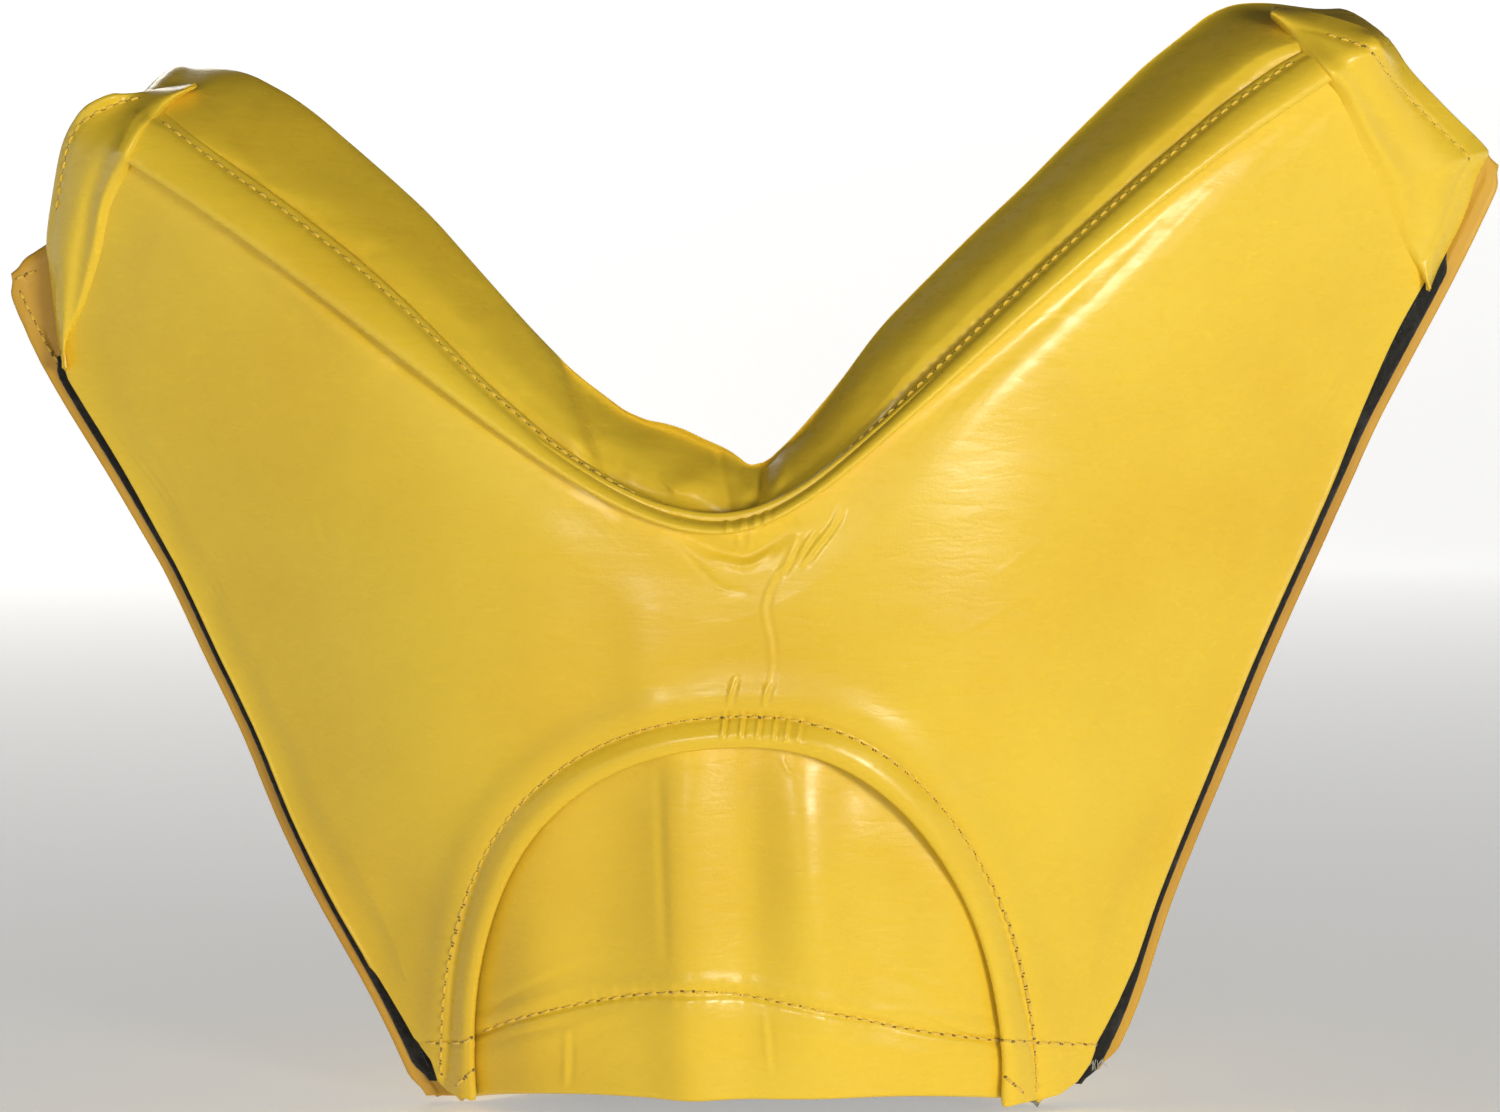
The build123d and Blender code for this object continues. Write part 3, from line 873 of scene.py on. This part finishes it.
for side, word, rear_body, foot, crown in ((-1, "left", "front", 1.5, 222), (1, "right", "rear", 9, 223)):
    strip(f"{word}_hook_strip", side, insets=(6.5, 15), y=-0.9, thick=1.0, low=5, high=194,
          body="front", slot="hook_tape", material=HOOK, replaced=f"{word}_hook_tape")
    strip(f"{word}_loop_strip", side, insets=(2.6, 15), y=0.6, thick=1.0, low=5, high=201,
          body=rear_body, slot="loop_tape", material=LOOP, replaced=f"{word}_loop_tape")
    # Each flap wears the darker leather, which is painted shade for its shadowed inner face.
    strip(f"{word}_flap", side, insets=(0.5, 16), y=1.8, thick=1.9, low=foot, high=crown,
          body=rear_body, slot="facing_leather", material=FACING_PAINTED_SHADE, replaced=f"{word}_rear_flap",
          rise=8, hem=3.4)

# -------------------- end tabs

# Lines by place and height in the camera's view, with a depth between them in the outer one.
TAB_INNER = {-1: [(-171, 185.5), (-170.2, 192), (-166.4, 200.5), (-162.3, 213), (-159.8, 225),
                  (-155.2, 234.7), (-151.4, 243.7), (-145.6, 250), (-138, 255.2)],
             1: [(169.8, 205), (167.8, 208.5), (163.4, 217), (160.3, 225.8), (156.5, 234.5),
                 (152.1, 243.3), (148.2, 252), (144.4, 257.3), (140.1, 262.8), (135.1, 267.8),
                 (130.5, 272.5)]}
TAB_OUTER = {-1: [(-171.3, -2, 184.5), (-172.8, -1, 192), (-174.8, 0.5, 208.8), (-175.6, 1.5, 217),
                  (-173.9, 2, 229.5), (-171.8, 3, 240.3), (-168.8, 3, 246.4), (-164.8, 3, 249.6),
                  (-157, 2, 252.8), (-148, 1, 254.8), (-139.5, 0, 256)],
             1: [(170.2, -2, 204.5), (172.8, -1, 210.8), (178.4, 0, 222), (182.1, 0.5, 233),
                 (184.8, 1, 238.2), (183.4, 1.5, 241), (175.3, 3, 248.9), (165.9, 5, 258.9),
                 (161.2, 6, 265.8), (157.5, 7, 268.8), (144, 9, 273.3), (131.5, 12, 275.4)]}
TAB_ROWS, TAB_COLS, TAB_ROUNDS = 121, 49, 1200
TAB_PUFF = {-1: 0.0012, 1: 0.0016}
# How far the stitches lie from the free edge, and the row where they begin.
TAB_SEAM = {-1: 1.6, 1: 5.2}
TAB_SEWN_FROM = {-1: 52, 1: 42}


def soften(y):
    """Each row and column of y averaged with its neighbours."""
    wide = np.pad(y, 1, mode="edge")
    return (wide[:-2, 1:-1] + wide[2:, 1:-1] + wide[1:-1, :-2] + wide[1:-1, 2:] + 2 * y) / 6


def under_tab(across, up):
    """Depth of whatever lies under each place of a tab, and 30 where nothing does."""
    cast = seen_on("front_guard_cover", "rim_band_cover", "rim_roll_pad")
    hits = [[cast((p, q)) for p, q in zip(*row)] for row in zip(across, up)]
    return np.array([[min(hit[0][1], 30) if hit else 30 for hit in row] for row in hits])


def drape(y, limit, puff):
    """A sheet stretched between its two long edges, puffed forwards, and kept in front of limit."""
    edges = y[:, 0].copy(), y[:, -1].copy()
    for _ in range(TAB_ROUNDS):
        y = np.minimum(soften(y) - puff, limit)
        y[:, 0], y[:, -1] = edges
    return y


def tab(side, word):
    """The tab over the roll's end: sewn down along its inner line, and free along its outer one."""
    inside, outside = curve(TAB_INNER[side], TAB_ROWS), curve(TAB_OUTER[side], TAB_ROWS)
    a, b = np.linspace(0, 1, TAB_ROWS)[:, None], np.linspace(0, 1, TAB_COLS)[None, :]
    across = inside[:, :1] * (1 - b) + outside[:, :1] * b
    up = inside[:, 1:] * (1 - b) + outside[:, 2:] * b
    under = under_tab(across, up)
    seam = np.minimum(under[:, 0], -3 - 3 * smooth(0.75, 0.95, a[:, 0]))
    for _ in range(40):
        seam = np.convolve(np.pad(seam, 1, mode="edge"), (0.25, 0.5, 0.25), "valid")
    span = np.hypot(across[:, -1] - across[:, 0], up[:, -1] - up[:, 0])[:, None]
    clear = (0.4 + 1.9 * smooth(0, 8, span)) * smooth(0, 0.10, b) * (1 - 0.4 * smooth(0.85, 1, a))
    limit = under + 1.3 - clear
    free = np.minimum(outside[:, 1:2], seam[:, None] + 0.6 * span + 1)
    y = drape(np.minimum(seam[:, None] * (1 - b) + free * b, limit), limit, TAB_PUFF[side])
    y = y + 0.4 * hill((1 - b) * span, TAB_SEAM[side], 0.8) * smooth(6, 12, span)
    y -= 1.3 * hill(b, 0.15, 0.09) * hill(a, 0.5, 0.25) - 0.9 * hill(b, 0.36, 0.12) * hill(a, 0.55, 0.25)
    y -= 1.0 * hill(b, 0.62, 0.2) * hill(a, 0.3, 0.2)
    grid = at_depth(across, y, up)
    thick = 0.7 + 1.2 * smooth(1, 8, span) + 0 * b
    cover = make(f"{word}_tab_cover", *slab(grid, thick, coarse=COARSE), None, "cover_leather", YELLOW)
    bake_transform(cover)
    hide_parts(f"{word}_end_tab")
    rows = [k for k in range(TAB_SEWN_FROM[side], 112) if span[k, 0] > TAB_SEAM[side] + 5.5]
    line = [grid[k, int(round((TAB_COLS - 1) * (1 - TAB_SEAM[side] / span[k, 0])))] for k in rows]
    place = np.stack(in_view(np.array(line)), 1)
    stitches(f"{word}_tab_stitches", place, seen_on(f"{word}_tab_cover"), f"{word}_tab")


for side, word in ((-1, "left"), (1, "right")):
    tab(side, word)

# -------------------- rear panel


# Insets from the flaps' edges at the left and right, the hem's height, and the top's greatest height.
REAR_INSETS, REAR_LOW, REAR_TOP = (11, 13), 1.2, 226
HEM_SEAM, RIM_SEAM = 16, 9.5


def rear_grid(u, w):
    """Places on the rear panel: u from border to border, w from hem to rim. Also the rim's height."""
    inset = REAR_INSETS[0] + (REAR_INSETS[1] - REAR_INSETS[0]) * smooth(-1, 1, u)
    top = np.full(u.shape, 134.0)
    for _ in range(30):
        rim = rear_rim_z(u * (half_width(top) - inset))
        top = 0.5 * top + 0.5 * np.minimum(rim, REAR_TOP + 1.5 * np.sign(u))
    z = REAR_LOW + (top - REAR_LOW) * w
    return u * (half_width(z) - inset), z, top


def rear_relief(x, z, hem, rim):
    """Slack folds, and grooves where the hem and the rim band are sewn down."""
    out = 2.0 * hill(x, -45, 35) * hill(z, 85, 38) + 2.2 * hill(x, 50, 34) * hill(z, 95, 36)
    out -= 1.2 * hill(x, 2, 16) * hill(z, 100, 40)
    out -= 1.4 * hill(x, -20, 14) * hill(z, 34, 14) + 1.0 * hill(x, 64, 12) * hill(z, 44, 14)
    out -= 0.6 * hill(hem, HEM_SEAM, 0.9) + 0.7 * hill(rim, RIM_SEAM, 1.0)
    out += 0.7 * hill(hem, 9, 5) + 1.3 * hill(rim, 4.5, 3.6)
    for line in ([(-6, 118), (-3, 100), (-5, 82)], [(8, 116), (11, 104)], [(-16, 117), (-20, 107)],
                 [(88, 165), (76, 150)], [(-92, 160), (-80, 149)], [(30, 60), (48, 56)],
                 [(-60, 40), (-48, 37)], [(-30, 24), (-29, 4)], [(42, 22), (43, 4)]):
        out += pleat(x, z, line, 0.45, 0.8)
    return out


u, w = np.linspace(-1, 1, 281)[:, None], np.linspace(0, 1, 161)[None, :]
x, z, top = rear_grid(u, w)
hem, rim = z + 0 * x, (top - z) * 0.8
rear = settle(np.stack([x, rear_y(x, z), z], -1))
side_gap = (1 - np.abs(u)) * 110
free = smooth(2, 30, np.minimum(np.minimum(hem - 16, rim - 10), side_gap - 6))
lift = cloth_lift(rear[::COARSE, ::COARSE], free[::COARSE, ::COARSE], (0, 10, 0), 0.010, 4.0)
rear += finer(lift, *z.shape)
rear_inside = rear[::COARSE, ::COARSE]
rear = raised(rear, BACKWARD, rear_relief(rear[..., 0], rear[..., 2], hem, rim))
deep = 2.0 + 5.5 * smooth(4, 28, np.minimum(np.minimum(hem, rim) + 4, side_gap - 6))
rear_solid = slab(rear, deep, BACKWARD, coarse=COARSE)
rear_panel = make("rear_panel_cover", *rear_solid, None, "cover_leather", YELLOW)
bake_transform(rear_panel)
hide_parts("rear_cover", "rear_pad", "rear_rim_band", "rear_hem_band")
rear_inside = raised(rear_inside, BACKWARD, -(deep[::COARSE, ::COARSE] + LINING_GAP))
rear_lining = lining_sheet("rear_lining_cover", rear_inside[5:-3, 1:-1], "rear", BACKWARD)
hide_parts("rear_lining")

# -------------------- stitching

WELT_SEAM = 7.2
front = seen_on("front_guard_cover", "chin_panel_cover")
x, z = arch_line().T
welt = settle(np.stack([x, front_y(x, z), z], 1))
arch = np.stack(in_view(welt), 1)
out = np.gradient(arch, axis=0)[:, ::-1] * [-1, 1]
out /= np.linalg.norm(out, axis=1, keepdims=True)
stitches("arch_stitches", arch + out * WELT_SEAM, front, "front")
stitches("hem_stitches", curve(HEM_STITCH, 80), front, "front", pitch=3.0)
row = np.stack(in_view(band[:, BAND_SEAM_COLUMN]), 1)
edge = seen_on("rim_band_cover")
stitches("left_rim_stitches", row[(row[:, 0] > -147) & (row[:, 0] < -26)], edge, "front")
stitches("right_rim_stitches", row[(row[:, 0] > 22) & (row[:, 0] < 138)], edge, "front")
for name, line in (("left_flap_stitches",
                    [(-182.4, 204.5), (-180, 199.5), (-175.4, 190.5), (-172.2, 185.5), (-169.6, 180.5)]),
                   ("left_flap_top_stitches", [(-183.6, 207.2), (-176, 210.2)])):
    stitches(name, line, seen_on("left_flap"), "front", pitch=3.0, long=2.0)
back = behind_on("rear_panel_cover")
bottom = rear[22:-4]
stitches("rear_hem_stitches", bottom[:, int(np.argmin(np.abs(hem[0] - HEM_SEAM)))][:, [0, 2]], back, "rear")
rows = [rear[i, int(np.argmin(np.abs(rim[i] - RIM_SEAM)))] for i in range(24, 276)]
stitches("rear_rim_stitches", np.array(rows)[:, [0, 2]], back, "rear")
stitches("rear_right_seam_stitches", rear[-4, 4:-4][:, [0, 2]], back, "rear")
stitches("rear_left_seam_stitches", rear[3, 4:-4][:, [0, 2]], back, "front")


def fray():
    """Broken white fibres at the foot of the right-hand tape."""
    random = np.random.default_rng(4)
    ring = [(math.cos(turn), math.sin(turn)) for turn in (0, 2.1, 4.2)]
    verts, faces = [], []
    for _ in range(16):
        foot = at_depth(85.5 + random.uniform(0, 3.2), -0.6, 11.8 + random.uniform(-0.6, 0.8))
        way = unit(np.array([random.uniform(-0.6, 0.8), random.uniform(-0.6, 0.1),
                             random.uniform(-1.2, -0.1)]))
        bend = unit(np.cross(way, random.normal(size=3)))
        aside = np.cross(way, bend)
        base = len(verts)
        for t in np.linspace(0, 1, 5):
            spot = foot + way * 2.6 * t + bend * 0.7 * t * t
            verts += [spot + 0.09 * (1 - 0.6 * t) * (bend * c + aside * s) for c, s in ring]
        faces += tube_faces(base, 5, len(ring))
    make("right_tape_fray", verts, faces, "front", "hook_tape", FRAY)


fray()

# -------------------- studio


# The floor, in metres: the radius of its flat part, its wall's height, and how far it lies below the guard.
FLAT, WALL, FLOOR_DROP, FLOOR_SIDES = 3, 0.7, 0.0006, 64


def bowl():
    """A round pale floor that curves up into a low wall, and glows more the further out it is."""
    profile = [(0.4, 0), (1, 0), (2, 0), (FLAT, 0)]
    profile += [(FLAT + WALL * math.sin(t), WALL - WALL * math.cos(t))
                for t in np.linspace(0, math.pi / 2, 14)[1:]]
    turns = np.linspace(0, 2 * math.pi, FLOOR_SIDES + 1)[:-1]
    verts = [(0, 0, -FLOOR_DROP)]
    for radius, height in profile:
        verts += [(radius * math.sin(t), -radius * math.cos(t), height - FLOOR_DROP) for t in turns]
    faces = [(0, 1 + k, 1 + (k + 1) % FLOOR_SIDES) for k in range(FLOOR_SIDES)]
    for ring in range(len(profile) - 1):
        a, b = 1 + ring * FLOOR_SIDES, 1 + (ring + 1) * FLOOR_SIDES
        faces += [(a + k, b + k, b + (k + 1) % FLOOR_SIDES, a + (k + 1) % FLOOR_SIDES)
                  for k in range(FLOOR_SIDES)]
    mesh = bpy.data.meshes.new("floor")
    mesh.from_pydata(verts, [], faces)
    mesh.polygons.foreach_set("use_smooth", [True] * len(mesh.polygons))
    floor = placed("floor", mesh)
    material, tree, shader = principled("floor_white", (0.86, 0.86, 0.86), 0.75)
    shader.inputs["Emission Color"].default_value = (1, 1, 1, 1)
    centre = node(tree, "ShaderNodeVectorMath")
    centre.operation = "LENGTH"
    glow = node(tree, "ShaderNodeMapRange", From_Min=0.2, From_Max=3.0, To_Min=0.36, To_Max=0.64)
    tree.links.new(tree.nodes.new("ShaderNodeTexCoord").outputs["Object"], centre.inputs[0])
    tree.links.new(centre.outputs["Value"], glow.inputs["Value"])
    tree.links.new(glow.outputs["Result"], shader.inputs["Emission Strength"])
    mesh.materials.append(material)


def lamp(name, place, size, power):
    """A warm square light at a place in metres, turned towards the guard's middle."""
    light = bpy.data.lights.new(name, "AREA")
    light.size, light.energy, light.color = size, power, (1, 0.95, 0.84)
    obj = placed(name, light)
    obj.location = place
    obj.rotation_euler = (Vector((0, 0, 0.13)) - Vector(place)).to_track_quat("-Z", "Y").to_euler()
    obj.visible_camera = False


bowl()
world = bpy.context.scene.world or bpy.data.worlds.new("world")
bpy.context.scene.world = world
world.use_nodes = True
sky = world.node_tree.nodes["Background"].inputs
sky["Color"].default_value, sky["Strength"].default_value = (1, 1, 1, 1), 0.03
lamp("key", (0.95, -1.5, 0.14), 0.42, 18)
lamp("front", (-0.22, -1.8, 0.10), 0.30, 5)
lamp("rear", (-1.0, 3.2, 1.6), 1.0, 14)

camera_data = bpy.data.cameras.new("camera")
camera_data.sensor_width = 36
camera_data.lens = 36 * DISTANCE / VIEW_WIDTH
camera = placed("camera", camera_data)
camera.location = CAMERA * MM
camera.rotation_euler = Vector(-TO_CAMERA).to_track_quat("-Z", "Y").to_euler()
bpy.context.scene.camera = camera
bpy.context.scene.view_settings.view_transform = "Standard"
